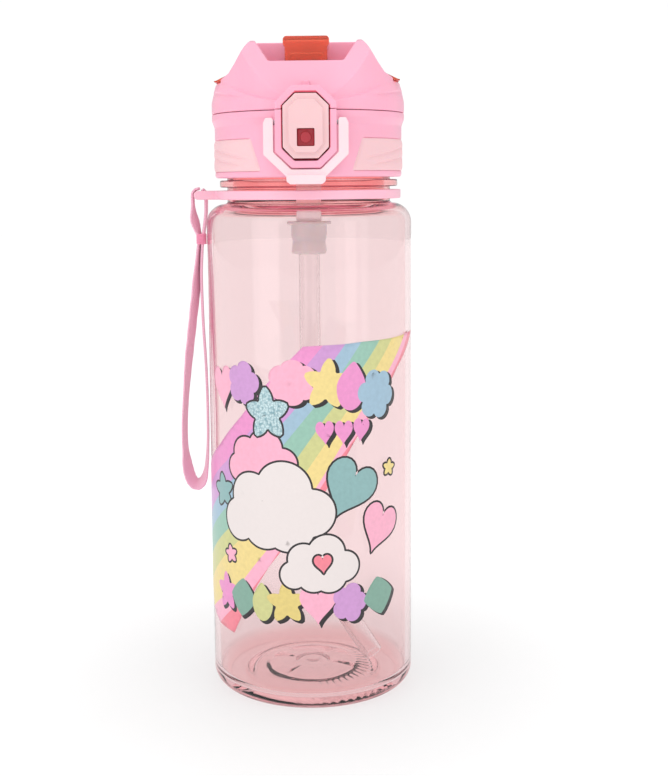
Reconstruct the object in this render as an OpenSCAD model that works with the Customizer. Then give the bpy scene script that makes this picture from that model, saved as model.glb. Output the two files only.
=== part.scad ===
// Kids water bottle: clear screw-neck bottle, flip-top straw lid with a push-button latch and a
// swing-over lock, and a wrist strap on a ring round the neck. Millimetres, +Z up, button towards -Y.

/* [Bottle] */
// Outer radius of the clear body
body_r = 36; // [35:0.5:38]
// Wall thickness of the body
body_wall = 2; // [1.6:0.1:2.4]
// Height of the straight side, where the shoulder starts
side_top = 166; // [150:1:180]
// Radius of the rounded edge at the bottom
foot_round = 6; // [4:0.5:8]
// Outer radius of the neck
neck_r = 28.6; // [28.4:0.1:28.7]

/* [Lid] */
// Outer radius of the screw base
base_r = 32.6; // [32.5:0.1:32.8]
// Height of the screw base
base_h = 21.7; // [21.4:0.1:21.9]
// Outer radius at the seam between base and cover
seam_r = 33.5; // [33.3:0.1:33.8]
// Wall thickness of the flip cover
cover_wall = 1.8; // [1.6:0.1:1.9]
// Height of the cover above the seam
cover_h = 25.2; // [24.8:0.1:26]

/* [Latch] */
// Outside width of the eight-sided button frame
frame_w = 20.1; // [19.9:0.1:20.3]
// Height of the button frame from corner to corner
frame_h = 26.5; // [26.3:0.1:26.7]
// Gap between the button and its frame
button_gap = 0.25; // [0.2:0.05:0.35]
// Side of the square window in the button
window_w = 5.7; // [5:0.1:6]

/* [Straw] */
// Outside diameter of the straw
straw_d = 7.4; // [6.5:0.1:7.6]
// How far the foot of the straw stands from the axis
straw_reach = 22; // [16:0.5:22.3]

/* [Strap] */
// Width of the woven strap
strap_w = 5.5; // [4.5:0.1:5.8]
// Thickness of the woven strap
strap_t = 1; // [0.8:0.1:1.1]

/* [Hidden] */

gap = 0.3;                              // clearance between pieces that move apart
pin_gap = 0.05;                         // radial running clearance of a pin

// heights of the bottle, from the floor up
shoulder_r = 6.8;
shoulder_top = side_top + shoulder_r;
ring_z = shoulder_top + 1.5;
ring_h = 3.1;
flange_z = ring_z + ring_h + 1.1;
flange_h = 2.4;
flange_r = 31.15;
base_z = flange_z + flange_h + 0.8;
neck_top = base_z + 15.4;
neck_wall = 1.9;
neck_bore = neck_r - neck_wall;
floor_t = 4.2;

// thread on the neck and in the base; the crests pass each other
thread_pitch = 5;
thread_turns = 1.3;
neck_crest = neck_r + 1.05;
cap_crest = neck_crest + gap;
cap_bore = cap_crest + 0.65;

// base and cover
seam_z = base_z + base_h;
deck_top = seam_z - 2;
deck_t = 2;
cover_z = seam_z + 0.2;
cover_top = cover_z + cover_h;
notch_z = cover_top - 9;

// button frame, centred on the front
frame_front = -36.6;
frame_z = base_z + 2.9;
frame_flat = 4.6;                       // half the flat at the top and bottom of the frame
frame_cut = 5.3;                        // height of the slanted corners
frame_wall = 2.35;
pin_y = -34.6;
pin_z = base_z + 17.6;
pin_r = 0.8;
button_front = -38;
button_back = -35.8;
latch_back = -34.3;
button_w = frame_w - 2 * frame_wall - 2 * button_gap;
button_z = frame_z + 3.1;
button_h = 20.8;
window_z = button_z + 3.9;
bail_in = frame_w / 2 + 0.5;
bail_arm = 3.3;

// hinge at the back
hinge_r = 3.4;
hinge_y = 38 - hinge_r;
hinge_z = seam_z - 1;
vent_at = [15, 6];
hinge_pin_r = 1.2;
lug_in = 6.5;
lug_out = 11;
knuckle_in = 3;

// spout and straw, on the axis
stem_r = 4.4;
stem_bottom = shoulder_top - 14;
connector_top = side_top + 1;
connector_h = 12;
spout_top = deck_top + 12;
bend_r = 30;
bend_a = 33;
straw_foot_z = 8.5;

// strap: the route runs over the eye bar, down through the pinch and round the hanging loop
bar_x = -38.6;
bar_z = ring_z + ring_h / 2;
bar_r = 1.55;
wrap_r = bar_r + gap + strap_t / 2;
strap_route = concat(
    [for (a = [90 : 30 : 180]) [bar_x + wrap_r * cos(a), bar_z + wrap_r * sin(a)]],
    [[-40.9, 172], [-40.6, 168], [-39.6, 164], [-38.7, 160.5], [-39.2, 156], [-39.8, 150],
     [-40.5, 142], [-41.5, 134], [-42.5, 126], [-43.5, 118], [-44.3, 110], [-45, 102],
     [-45.5, 94], [-45.5, 86], [-44.8, 78.5], [-43.4, 73.4], [-41.2, 71.7], [-39, 73.6],
     [-37.8, 79], [-37.2, 88], [-37.1, 98], [-37.2, 108], [-37.5, 118], [-38, 128],
     [-38.3, 138], [-38.4, 148], [-38, 156], [-37.6, 160.5], [-37, 164.5], [-36.4, 169],
     [-36.25, 172.5]],
    [for (a = [0 : 30 : 60]) [bar_x + wrap_r * cos(a), bar_z + wrap_r * sin(a)]]);
tack_z = 160.5;

pink = [0.99, 0.73, 0.82];
deep_pink = [0.93, 0.5, 0.62];
cream = [0.98, 0.86, 0.86];
clear_pink = [0.98, 0.85, 0.87, 0.45];
coral = [0.9, 0.35, 0.27, 0.75];
steel = [0.75, 0.76, 0.78];
milky = [0.95, 0.88, 0.88];

// ---- shared shapes ----

// Points on an arc of radius r about (x, y), from angle a0 to a1
function arc(x, y, r, a0, a1, n = 8) =
    [for (i = [0 : n]) let (a = a0 + (a1 - a0) * i / n) [x + r * cos(a), y + r * sin(a)]];

// A right-hand outline and its mirror image, as one closed outline
function mirrored(half) =
    concat(half, [for (i = [len(half) - 1 : -1 : 0]) [-half[i].x, half[i].y]]);

// An outline in X and Z made solid from y0 to y1
module along_y(points, y0, y1)
    translate([0, y1, 0]) rotate([90, 0, 0]) linear_extrude(y1 - y0) polygon(points);

// An outline in Y and Z made solid from x0 to x1
module along_x(points, x0, x1)
    translate([x0, 0, 0]) rotate([90, 0, 90]) linear_extrude(x1 - x0) polygon(points);

// A round bar along X from x0 to x1
module rod(r, x0, x1, y, z)
    translate([x0, y, z]) rotate([0, 90, 0]) cylinder(r = r, h = x1 - x0, $fn = 48);

// A flat ring or tube
module tube(r_out, r_in, z0, z1)
    translate([0, 0, z0]) difference() {
        cylinder(r = r_out, h = z1 - z0, $fn = 96);
        translate([0, 0, -1]) cylinder(r = r_in, h = z1 - z0 + 2, $fn = 96);
    }

// Eight-sided outline of the button frame, grown by e on every side
function frame_outline(e = 0) =
    let (w = frame_w / 2 + e, f = frame_flat + e * 0.4, z0 = frame_z - e,
         z1 = frame_z + frame_h + e, c = frame_cut + e * 0.6)
    mirrored([[f, z0], [w, z0 + c], [w, z1 - c], [f, z1]]);

// A ridge swept along a helix, tapering into the wall at both ends
module helix_ridge(r_root, r_crest, z0, pitch, turns, w_root, w_crest) {
    n = ceil(turns * 30);
    dir = r_crest > r_root ? 1 : -1;
    points = [for (i = [0 : n]) let (
            a = 360 * turns * i / n,
            fade = min(1, min(i, n - i) / 4 + 0.05),
            r = r_root + (r_crest - r_root) * fade,
            z = z0 + pitch * turns * i / n)
        for (p = [[r_root, -dir * w_root / 2], [r, -dir * w_crest / 2], [r, dir * w_crest / 2],
                  [r_root, dir * w_root / 2]])
            [p.x * cos(a), p.x * sin(a), z + p.y]];
    sides = [for (i = [0 : n - 1], k = [0 : 3]) let (m = (k + 1) % 4)
        [i * 4 + k, i * 4 + m, i * 4 + 4 + m, i * 4 + 4 + k]];
    polyhedron(points, concat(sides, [[3, 2, 1, 0], [n * 4, n * 4 + 1, n * 4 + 2, n * 4 + 3]]),
               convexity = 8);
}

// Wire wound round an axis along X, with a straight leg off the last turn
module coil(r, wire, x0, x1, y, z, turns, leg, leg_a) {
    steps = turns * 16;
    route = [for (i = [0 : steps]) let (a = leg_a + 90 + 360 * i / 16)
        [x0 + (x1 - x0) * i / steps, y + r * cos(a), z + r * sin(a)]];
    end = route[steps];
    a_end = leg_a + 90 + 360 * turns;
    tip = [end.x, end.y - leg * sin(a_end), end.z + leg * cos(a_end)];
    path = concat(route, [tip]);
    last = len(path) - 1;
    points = [for (i = [0 : last]) let (
            d = path[min(i + 1, last)] - path[max(i - 1, 0)],
            t = d / norm(d),
            u = [1, 0, 0] - t * t.x,
            un = u / norm(u),
            v = cross(t, un))
        for (k = [0 : 5]) path[i] + wire / 2 * (un * cos(60 * k) + v * sin(60 * k))];
    sides = [for (i = [0 : last - 1], k = [0 : 5]) let (m = (k + 1) % 6)
        [i * 6 + 6 + k, i * 6 + 6 + m, i * 6 + m, i * 6 + k]];
    polyhedron(points, concat(sides, [[0, 1, 2, 3, 4, 5],
        [for (k = [5 : -1 : 0]) last * 6 + k]]), convexity = 12);
}

// ---- bottle ----

module bottle_body() {
    side_in = body_r - body_wall;
    shoulder_x = body_r - shoulder_r;
    outer = concat([[0, 3.4], [14, 3], [20, 2.2], [24, 0]],
        arc(body_r - foot_round, foot_round, foot_round, -90, 0),
        arc(shoulder_x, side_top, shoulder_r, 0, 82, 8),
        [[neck_r + 0.7, shoulder_top], [neck_r, shoulder_top + 0.8],
         [neck_r, flange_z - 0.3], [flange_r - 0.5, flange_z], [flange_r, flange_z + 0.5],
         [flange_r, flange_z + flange_h - 0.5], [flange_r - 0.5, flange_z + flange_h],
         [neck_r, flange_z + flange_h], [neck_r, neck_top - 0.4], [neck_r - 0.4, neck_top]]);
    inner = concat([[neck_bore + 0.4, neck_top], [neck_bore, neck_top - 0.4],
                    [neck_bore, shoulder_top - 0.8]],
        arc(shoulder_x, side_top, shoulder_r - body_wall, 80, 0, 7),
        arc(side_in - 4.5, floor_t + 4.5, 4.5, 0, -90),
        [[22, floor_t + 0.6], [14, floor_t + 2.6], [6, floor_t + 3], [0, floor_t + 3]]);
    color(clear_pink) {
        rotate_extrude($fn = 96) polygon(concat(outer, inner));
        helix_ridge(neck_r - 0.3, neck_crest, base_z + 3.5, thread_pitch, thread_turns, 2.2, 0.9);
    }
}

// ---- ring and strap ----

module strap_ring() {
    eye_w = strap_w + 1.2;
    color(pink) difference() {
        union() {
            tube(32.3, neck_r + gap, ring_z, ring_z + ring_h);
            for (s = [-1, 1])
                translate([bar_x, s > 0 ? eye_w / 2 : -eye_w / 2 - 1.8, ring_z])
                    cube([8.5, 1.8, ring_h]);
            translate([bar_x, eye_w / 2 + 1.8, bar_z]) rotate([90, 0, 0])
                cylinder(r = bar_r, h = eye_w + 3.6, $fn = 48);
        }
        translate([0, 0, ring_z - 1]) cylinder(r = neck_r + gap, h = ring_h + 2, $fn = 96);
    }
}

module strap_loop() {
    n = len(strap_route);
    sides = 8;
    points = [for (i = [0 : n - 1]) let (
            a = strap_route[max(i - 1, 0)],
            b = strap_route[min(i + 1, n - 1)],
            t = (b - a) / norm(b - a))
        for (k = [0 : sides - 1]) let (
            c = 0.5 * strap_t * cos(22.5 + 45 * k) / cos(22.5),
            w = 0.5 * strap_w * sin(22.5 + 45 * k) / sin(67.5))
            [strap_route[i].x + c * t.y, w, strap_route[i].y - c * t.x]];
    walls = [for (i = [0 : n - 2], k = [0 : sides - 1]) let (m = (k + 1) % sides)
        [i * sides + sides + k, i * sides + sides + m, i * sides + m, i * sides + k]];
    color([0.96, 0.6, 0.72]) polyhedron(points, concat(walls,
        [[for (k = [0 : sides - 1]) k], [for (k = [sides - 1 : -1 : 0]) (n - 1) * sides + k]]),
        convexity = 6);
}

module strap_tack()
    color(deep_pink) translate([-39.7, -strap_w / 2 - 0.3, tack_z - 2])
        cube([3.1, strap_w + 0.6, 4]);

// ---- lid base ----

module lid_gasket()
    color(milky) tube(cap_bore - 0.1, neck_bore - 0.6, neck_top + 0.1, deck_top - deck_t);

// Cutter for the hinge knuckle that lies within half_w of the middle
module hinge_room(half_w)
    rod(hinge_r + 0.4, -half_w, half_w, hinge_y, hinge_z);

module lid_base() {
    color(pink) difference() {
        union() {
            rotate_extrude($fn = 96) polygon([
                [0, deck_top - deck_t], [cap_bore, deck_top - deck_t], [cap_bore, base_z],
                [base_r - 0.4, base_z], [base_r, base_z + 0.6], [base_r, seam_z - 4.4],
                [seam_r, seam_z - 2], [seam_r, seam_z], [seam_r - 2.4, seam_z],
                [seam_r - 2.4, deck_top], [0, deck_top]]);
            helix_ridge(cap_bore + 0.3, cap_crest, base_z + 1.9, thread_pitch, thread_turns,
                        2.2, 0.9);
            difference() {
                along_y(frame_outline(), frame_front, -28);
                translate([0, 0, base_z - 1]) cylinder(r = cap_bore + 0.5, h = 40, $fn = 96);
                translate([-20, -60, seam_z]) cube([40, 40, 20]);
            }
            for (s = [-1, 1]) hinge_lug(s);
            tube(9, 6, deck_top - 0.5, deck_top + 1.1);
        }
        along_y(frame_outline(-frame_wall), frame_front - 2, -32.75);
        rod(pin_r, -14, 14, pin_y, pin_z);
        hinge_room(lug_in - 0.3);
        rod(hinge_pin_r, -12, 12, hinge_y, hinge_z);
        for (s = [-1, 1]) grip_zone(s, base_r - 0.8, base_r + 2, 0);
        translate([0, 0, deck_top - 4]) cylinder(r = 5.2, h = 8, $fn = 64);
        translate([vent_at.x, vent_at.y, deck_top - 4]) cylinder(r = 1.5, h = 8, $fn = 32);
    }
}

module hinge_lug(s) {
    x0 = s > 0 ? lug_in : -lug_out;
    rod(hinge_r, x0, x0 + lug_out - lug_in, hinge_y, hinge_z);
    along_x([[30.2, seam_z], [30.2, deck_top - 9.5], [base_r - 1, deck_top - 9.5],
             [hinge_y + 1, hinge_z - 3], [hinge_y, hinge_z]], x0, x0 + lug_out - lug_in);
}

// Sector of a ring on one side of the base, with a slanted front edge, shrunk by e
module grip_zone(s, r_in, r_out, e) {
    z0 = base_z + 2 + e;
    z1 = base_z + 12.8 - e;
    intersection() {
        tube(r_out, r_in, z0, z1);
        along_y([for (p = [[15.2 + e, z0], [18.6 + e, z1], [60, z1], [60, z0]]) [s * p.x, p.y]],
                -50, 26 - e);
    }
}

module grip_pad_left() color(cream) grip_zone(-1, base_r - 0.8, base_r + 0.3, 0.1);

module grip_pad_right() color(cream) grip_zone(1, base_r - 0.8, base_r + 0.3, 0.1);

module vent_valve()
    color(milky) translate([vent_at.x, vent_at.y, 0]) {
        translate([0, 0, deck_top]) cylinder(r = 3, h = 1, $fn = 48);
        translate([0, 0, deck_top - deck_t - 1]) cylinder(r = 1.5, h = deck_t + 1, $fn = 32);
        translate([0, 0, deck_top - deck_t - 4]) cylinder(r1 = 1, r2 = 2.4, h = 3, $fn = 32);
    }

module spout_stem()
    color([0.86, 0.7, 0.72]) difference() {
        union() {
            translate([0, 0, stem_bottom]) cylinder(r = stem_r, h = deck_top - stem_bottom, $fn = 64);
            translate([0, 0, deck_top - deck_t - 3]) cylinder(r = 8, h = 3, $fn = 64);
            translate([0, 0, stem_bottom + 3]) cylinder(r1 = stem_r, r2 = stem_r + 0.3, h = 1.5,
                                                       $fn = 64);
        }
        translate([0, 0, stem_bottom - 1]) cylinder(r = 3, h = deck_top - stem_bottom + 2, $fn = 64);
    }

module mouthpiece()
    color([0.98, 0.8, 0.84]) rotate_extrude($fn = 64) polygon(concat(
        [[3, deck_top], [5.9, deck_top], [5.9, deck_top + 1.2], [7.4, deck_top + 1.8],
         [7.4, deck_top + 3], [5.4, deck_top + 4.5], [4.9, spout_top - 4]],
        arc(4.4, spout_top - 1.4, 1.2, -20, 90, 5),
        [[3.4, spout_top], [3, spout_top - 0.5]]));

module straw_connector()
    color(milky) difference() {
        union() {
            translate([0, 0, connector_top - 1.6]) cylinder(r = 7.8, h = 1.6, $fn = 64);
            translate([0, 0, connector_top - connector_h]) cylinder(r = 6.35, h = connector_h,
                                                                   $fn = 64);
        }
        translate([0, 0, stem_bottom]) cylinder(r = stem_r + 0.4, h = 30, $fn = 64);
        translate([0, 0, connector_top - connector_h - 1])
            cylinder(r = straw_d / 2 + 0.02, h = 30, $fn = 64);
    }

// Straight down from the connector, one bend, then a slanted run to the foot
module straw() {
    leg = (straw_reach - bend_r * (1 - cos(bend_a))) / sin(bend_a);
    bend_z = straw_foot_z + leg * cos(bend_a) + bend_r * sin(bend_a);
    bend = [for (a = [0 : 3 : bend_a]) [bend_r * (1 - cos(a)), bend_z - bend_r * sin(a), a]];
    end = bend[len(bend) - 1];
    route = concat([[0, stem_bottom - 0.2, 0]], bend,
                   [[end.x + leg * sin(bend_a), end.y - leg * cos(bend_a), bend_a]]);
    sides = 20;
    last = len(route) - 1;
    points = [for (p = route, r = [straw_d / 2, straw_d / 2 - 0.9], k = [0 : sides - 1])
        let (u = r * cos(360 * k / sides), v = r * sin(360 * k / sides))
        [p.x + u * cos(p[2]), v, p.y + u * sin(p[2])]];
    outer = [for (i = [0 : last - 1], k = [0 : sides - 1])
        let (m = (k + 1) % sides, b = 2 * sides * i, c = b + 2 * sides)
        [b + k, b + m, c + m, c + k]];
    bore = [for (f = outer) [f[3] + sides, f[2] + sides, f[1] + sides, f[0] + sides]];
    rims = [for (i = [0, last], k = [0 : sides - 1])
        let (m = (k + 1) % sides, b = 2 * sides * i)
        i == 0 ? [b + m, b + k, b + k + sides, b + m + sides]
               : [b + k, b + m, b + m + sides, b + k + sides]];
    color([0.95, 0.85, 0.87]) polyhedron(points, concat(outer, bore, rims), convexity = 6);
}

module hinge_pin() color(steel) rod(hinge_pin_r, -lug_out, lug_out, hinge_y, hinge_z);

module button_pin() color(steel) rod(pin_r, -13, 13, pin_y, pin_z);

// ---- cover ----

// The hood as a solid, e inside its outer surface
module hood(e) {
    intersection() {
        along_y(mirrored([[31.5 - e, cover_z], [31.5 - e, cover_z + 9.6 - e / 2],
                          [28.6 - e, cover_z + 11.6 - e], [26.2 - e, cover_z + 12.8 - e],
                          [23.9 - e, cover_z + 15.8 - e], [20.4 - e, cover_z + 21.2 - e],
                          [18.6 - e, cover_z + 23.2 - e], [16.6 - e, cover_top - e]]), -40, 40);
        along_x([[-31.9 + e, cover_z], [-31.9 + e, cover_z + 2.7], [-22.5 + e, cover_top - 2.6 - e],
                 [-20.5 + e, cover_top - 1.9 - e], [12, cover_top - e], [23 - e, cover_top - 4 - e],
                 [29.5 - e, cover_z + 13], [31.9 - e, cover_z + 6], [31.9 - e, cover_z]], -40, 40);
        translate([0, 0, cover_z]) cylinder(r = 32.1 - e, h = 40, $fn = 96);
    }
}

// The recess in the top of the hood, open to the front, e larger all round
module notch(e)
    along_y(mirrored([[12.4 + e, notch_z - e], [19 + e * 1.4, notch_z + 10]]), -50, -4 + e);

// The collar round the foot of the cover, with its top edge rising from the front to the sides
module collar() {
    difference() {
        rotate_extrude($fn = 96) polygon([[30, cover_z], [seam_r, cover_z], [seam_r, cover_z + 3.6],
            [32.7, cover_z + 7.6], [31.9, cover_z + 10.2], [30, cover_z + 10.2]]);
        along_x([[-50, cover_z + 2.9], [-32, cover_z + 2.9], [-15.5, cover_z + 10.5],
                 [-50, cover_z + 10.5]], -40, 40);
    }
}

// Where the side fins of the inner shell show between collar and hood
module side_slot(s, e)
    along_y([for (p = [[23.4 - e, cover_z + 10.4 - e], [34, cover_z + 10.4 - e],
                       [34, cover_z + 10.9 + e], [31, cover_z + 10.9 + e],
                       [27.3, cover_z + 12.7 + e], [23.4 - e, cover_z + 12.7 + e]])
             [s * p.x, p.y]], -13 - e, 13 + e);

module cover_shell() {
    color(pink) difference() {
        union() {
            difference() {
                hood(0);
                notch(0);
            }
            collar();
            intersection() {
                along_y(frame_outline(), frame_front, -30);
                translate([-20, -60, cover_z]) cube([40, 40, 20]);
            }
            along_y([[-1.15, cover_z + 7.7], [1.15, cover_z + 7.7], [1.15, cover_z + 9.4],
                     [-1.15, cover_z + 9.4]], -33, -28);
            for (s = [-1, 1]) translate([s > 0 ? knuckle_in : -lug_in + 0.5, 0, 0])
                cover_knuckle(lug_in - 0.5 - knuckle_in);
        }
        difference() {
            hood(cover_wall);
            notch(cover_wall);
        }
        translate([0, 0, cover_z - 1]) cylinder(r = 30, h = 3, $fn = 96);
        intersection() {
            along_y(frame_outline(-frame_wall), -45, -32.95);
            translate([-20, -60, cover_z - 1]) cube([40, 40, 20]);
        }
        along_y([[-5, cover_z + 2.6], [5, cover_z + 2.6], [5, cover_z + 4.9], [-5, cover_z + 4.9]],
                -34, -31.6);
        for (s = [-1, 1]) {
            side_slot(s, 0.1);
            rod(hinge_r + 0.4, s > 0 ? lug_in - 0.3 : -lug_out - 0.4,
                s > 0 ? lug_out + 0.4 : -lug_in + 0.3, hinge_y, hinge_z);
        }
        rod(hinge_r + 0.2, -knuckle_in + 0.1, knuckle_in - 0.1, hinge_y, hinge_z);
        rod(hinge_pin_r + pin_gap, -12, 12, hinge_y, hinge_z);
        translate([-7.3, -22.2, notch_z - 5]) cube([14.6, 16.4, 8]);
    }
}

// One knuckle of the cover, w wide, joined to the back of the collar
module cover_knuckle(w) {
    rod(hinge_r - 0.2, 0, w, hinge_y, hinge_z);
    along_x([[31, cover_z], [31, cover_z + 6], [33, cover_z + 4.5], [hinge_y + 1.2, hinge_z + 2.9],
             [hinge_y, hinge_z + 1], [hinge_y - 1, cover_z]], 0, w);
}

module cover_inner() {
    outer_e = cover_wall + 0.1;
    inner_e = cover_wall + 1.2;
    color(coral) {
        difference() {
            union() {
                difference() {
                    hood(outer_e);
                    notch(outer_e);
                }
                translate([-7.1, -22, notch_z - 4]) cube([14.2, 16, 9]);
                along_y(mirrored([[7.1, notch_z + 4.9], [7.7, notch_z + 5.6], [7.7, cover_top - 1.4],
                                  [7, cover_top - 0.6]]), -22, -6);
            }
            difference() {
                hood(inner_e);
                notch(inner_e);
            }
            translate([-40, -40, cover_z - 1]) cube([80, 80, 6.6]);
            translate([-5.9, -20.8, notch_z - 6]) cube([11.8, 13.6, 9]);
        }
        for (s = [-1, 1]) intersection() {
            side_slot(s, 0);
            translate([-31.7, -20, 0]) cube([63.4, 40, 300]);
        }
    }
}

module cover_seal() {
    roof = notch_z - cover_wall - 1.2;
    color(milky) {
        translate([0, 0, spout_top + 0.3]) cylinder(r = 6.5, h = roof - spout_top - 0.3, $fn = 64);
        translate([0, 0, spout_top - 0.9]) cylinder(r1 = 1.5, r2 = 1.9, h = 1.2, $fn = 48);
    }
}

module hinge_spring()
    color(steel) coil(1.95, 0.8, -2.4, 2.4, hinge_y, hinge_z, 5, 2.6, 90);

// ---- latch and lock ----

module push_button() {
    bevel = 0.9;
    w = button_w / 2;
    z1 = button_z + button_h;
    color(cream) difference() {
        union() {
            along_y(mirrored([[4, button_z], [w, button_z + 3.6], [w, z1 - 3.9], [3.4, z1]]),
                    button_front + bevel, button_back);
            along_y(mirrored([[3.2, button_z + 1.9], [w - 1.9, button_z + 4.6],
                              [w - 1.9, z1 - 4.8], [2.8, z1 - 1.9]]), button_front, button_back);
        }
        translate([-window_w / 2, -50, window_z]) cube([window_w, 40, window_w]);
        rod(1.85, -20, 20, pin_y, pin_z);
    }
}

module latch_lever() {
    w = button_w / 2 - 0.5;
    z1 = button_z + button_h - 0.5;
    color(coral) difference() {
        union() {
            along_y(mirrored([[3.8, button_z + 0.5], [w, button_z + 3.8], [w, z1 - 3.4], [3.8, z1]]),
                    button_back, latch_back);
            translate([-window_w / 2 + 0.15, button_back - 0.5, window_z + 0.15])
                cube([window_w - 0.3, 1, window_w - 0.3]);
            translate([0, button_back, window_z + window_w / 2]) rotate([90, 0, 0])
                cylinder(r = 1.75, h = 1.3, $fn = 48);
            rod(1.6, -w, w, pin_y, pin_z);
            along_y([[-3.8, cover_z + 3], [3.8, cover_z + 3], [3.8, cover_z + 4.5],
                     [-3.8, cover_z + 4.5]], latch_back - 0.5, -33.2);
        }
        rod(pin_r + pin_gap, -20, 20, pin_y, pin_z);
        rod(2.1, -2.7, 2.7, pin_y, pin_z);
        translate([-1, latch_back - 0.6, window_z + 0.5]) cube([2, 1, 8]);
    }
}

module button_spring()
    color(steel) coil(1.35, 0.5, -2.1, 0, pin_y, pin_z, 4, 5, -90);

module lock_bail() {
    bar_z0 = frame_z - 3;
    lip_z = base_z - 2.3;
    in = frame_outline(0.4);
    w = bail_in + bail_arm;
    top = pin_z + 1.2;
    color(cream) difference() {
        union() {
            along_y(mirrored([[6.2, bar_z0], [w, bar_z0 + 7.4], [w, top - 1.4], [w - 0.8, top + 0.3],
                              [bail_in + 0.4, top + 0.3], [bail_in, top - 0.4],
                              [bail_in, top - 3], [0, top - 3]]), pin_y - 1.6, pin_y + 1.4);
            along_y(mirrored([[5.2, lip_z], [6.3, lip_z + 0.9], [6.5, bar_z0 + 0.8]]),
                    -37.5, pin_y);
        }
        along_y(mirrored([[in[0].x, in[0].y], [bail_in, in[1].y], [bail_in, top + 5]]), -50, -20);
        rod(pin_r + pin_gap, -13.2, 13.2, pin_y, pin_z);
    }
}

bottle_body();
strap_ring();
strap_loop();
strap_tack();
lid_gasket();
lid_base();
grip_pad_left();
grip_pad_right();
vent_valve();
spout_stem();
mouthpiece();
straw_connector();
straw();
hinge_pin();
button_pin();
cover_shell();
cover_inner();
cover_seal();
hinge_spring();
push_button();
latch_lever();
button_spring();
lock_bail();
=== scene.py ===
"""Kids water bottle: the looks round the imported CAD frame.

A clear pink bottle with a printed film, a two-part lid with a push button and a swing-over lock,
a spout with its straw, and a wrist strap. Shapes are worked out in millimetres in the frame's own
axes (+Z up, button towards -Y) and turned into metres when a piece is made.
"""
import math
from math import cos, pi, radians, sin

import bpy
import numpy as np
from mathutils import Matrix, Vector, geometry


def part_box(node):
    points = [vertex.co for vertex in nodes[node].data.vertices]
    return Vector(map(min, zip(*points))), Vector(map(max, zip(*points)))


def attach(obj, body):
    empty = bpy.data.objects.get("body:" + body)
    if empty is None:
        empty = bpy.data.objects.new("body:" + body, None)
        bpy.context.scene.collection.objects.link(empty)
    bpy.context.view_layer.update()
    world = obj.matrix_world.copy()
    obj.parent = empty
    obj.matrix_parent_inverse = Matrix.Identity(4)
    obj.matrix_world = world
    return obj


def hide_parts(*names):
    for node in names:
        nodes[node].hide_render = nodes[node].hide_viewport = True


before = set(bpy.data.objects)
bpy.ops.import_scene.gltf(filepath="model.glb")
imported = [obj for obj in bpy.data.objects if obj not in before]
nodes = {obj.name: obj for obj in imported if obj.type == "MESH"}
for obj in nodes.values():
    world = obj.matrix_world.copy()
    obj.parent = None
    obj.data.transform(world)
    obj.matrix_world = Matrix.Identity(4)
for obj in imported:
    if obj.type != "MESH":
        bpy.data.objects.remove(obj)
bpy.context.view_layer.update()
MM = 0.001


def cad(node):
    """Lowest and highest corner of a CAD node, in millimetres."""
    low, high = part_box(node)
    return [c / MM for c in low], [c / MM for c in high]


# ---------------------------------------------------------------- shape helpers


def arc(x, y, radius, start, end, steps):
    """Points on an arc about (x, y), angles in degrees."""
    angles = [radians(start + (end - start) * k / steps) for k in range(steps + 1)]
    return [(x + radius * cos(a), y + radius * sin(a)) for a in angles]


def soften(corners, steps=4, closed=True):
    """An outline whose corners (x, y, radius) are rounded."""
    points = []
    last = len(corners) - 1
    for i, (x, y, radius) in enumerate(corners):
        if radius <= 0 or (not closed and i in (0, last)):
            points.append((x, y))
            continue
        here = Vector((x, y))
        back = Vector(corners[i - 1][:2]) - here
        on = Vector(corners[(i + 1) % len(corners)][:2]) - here
        cut = radius / math.tan(back.angle(on) / 2)
        a = here + back.normalized() * min(cut, 0.49 * back.length)
        b = here + on.normalized() * min(cut, 0.49 * on.length)
        for k in range(steps + 1):
            t = k / steps
            p = a * (1 - t) ** 2 + here * 2 * t * (1 - t) + b * t * t
            points.append((p.x, p.y))
    return points


def skin(rings, closed=False):
    """Vertices and faces of a surface over rings of points; a ring of one point is a pole."""
    verts, index, faces = [], [], []
    for ring in rings:
        index.append(list(range(len(verts), len(verts) + len(ring))))
        verts += ring
    pairs = list(zip(index, index[1:]))
    if closed:
        pairs.append((index[-1], index[0]))
    for a, b in pairs:
        steps = max(len(a), len(b))
        if steps == 1:
            continue
        for k in range(steps):
            n = (k + 1) % steps
            quad = (a[k % len(a)], a[n % len(a)], b[n % len(b)], b[k % len(b)])
            faces.append(tuple(dict.fromkeys(quad)))
    if not closed:
        if len(index[0]) > 1:
            faces.append(tuple(reversed(index[0])))
        if len(index[-1]) > 1:
            faces.append(tuple(index[-1]))
    return verts, faces


def turned(profile, steps, centre=(0, 0), shape=None):
    """A closed outline (radius, height), outer side upwards, turned about a vertical axis."""
    rings = []
    for radius, height in profile:
        if radius < 1e-6:
            rings.append([(centre[0], centre[1], height)])
            continue
        ring = []
        for k in range(steps):
            a = 2 * pi * k / steps
            r, z = shape(radius, height, a) if shape else (radius, height)
            ring.append((centre[0] + r * cos(a), centre[1] + r * sin(a), z))
        rings.append(ring)
    return skin(rings, closed=True)


def frames_along(route, across):
    """For each point of a route: the point, a side vector and the normal to the route and side."""
    out = []
    for i, p in enumerate(route):
        tangent = (route[min(i + 1, len(route) - 1)] - route[max(i - 1, 0)]).normalized()
        side = (across - tangent * across.dot(tangent)).normalized()
        out.append((p, side, tangent.cross(side)))
    return out


def swept(route, radius, sides, across=Vector((0, 1, 0)), bore=None):
    """A round bar, or a tube where bore is given, along a route."""
    angles = [2 * pi * k / sides for k in range(sides)]

    def rings(r):
        return [[tuple(p + (u * cos(a) + v * sin(a)) * r) for a in angles]
                for p, u, v in frames_along(route, across)]

    if bore is None:
        return skin(rings(radius))
    return skin(rings(radius) + rings(bore)[::-1], closed=True)


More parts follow.
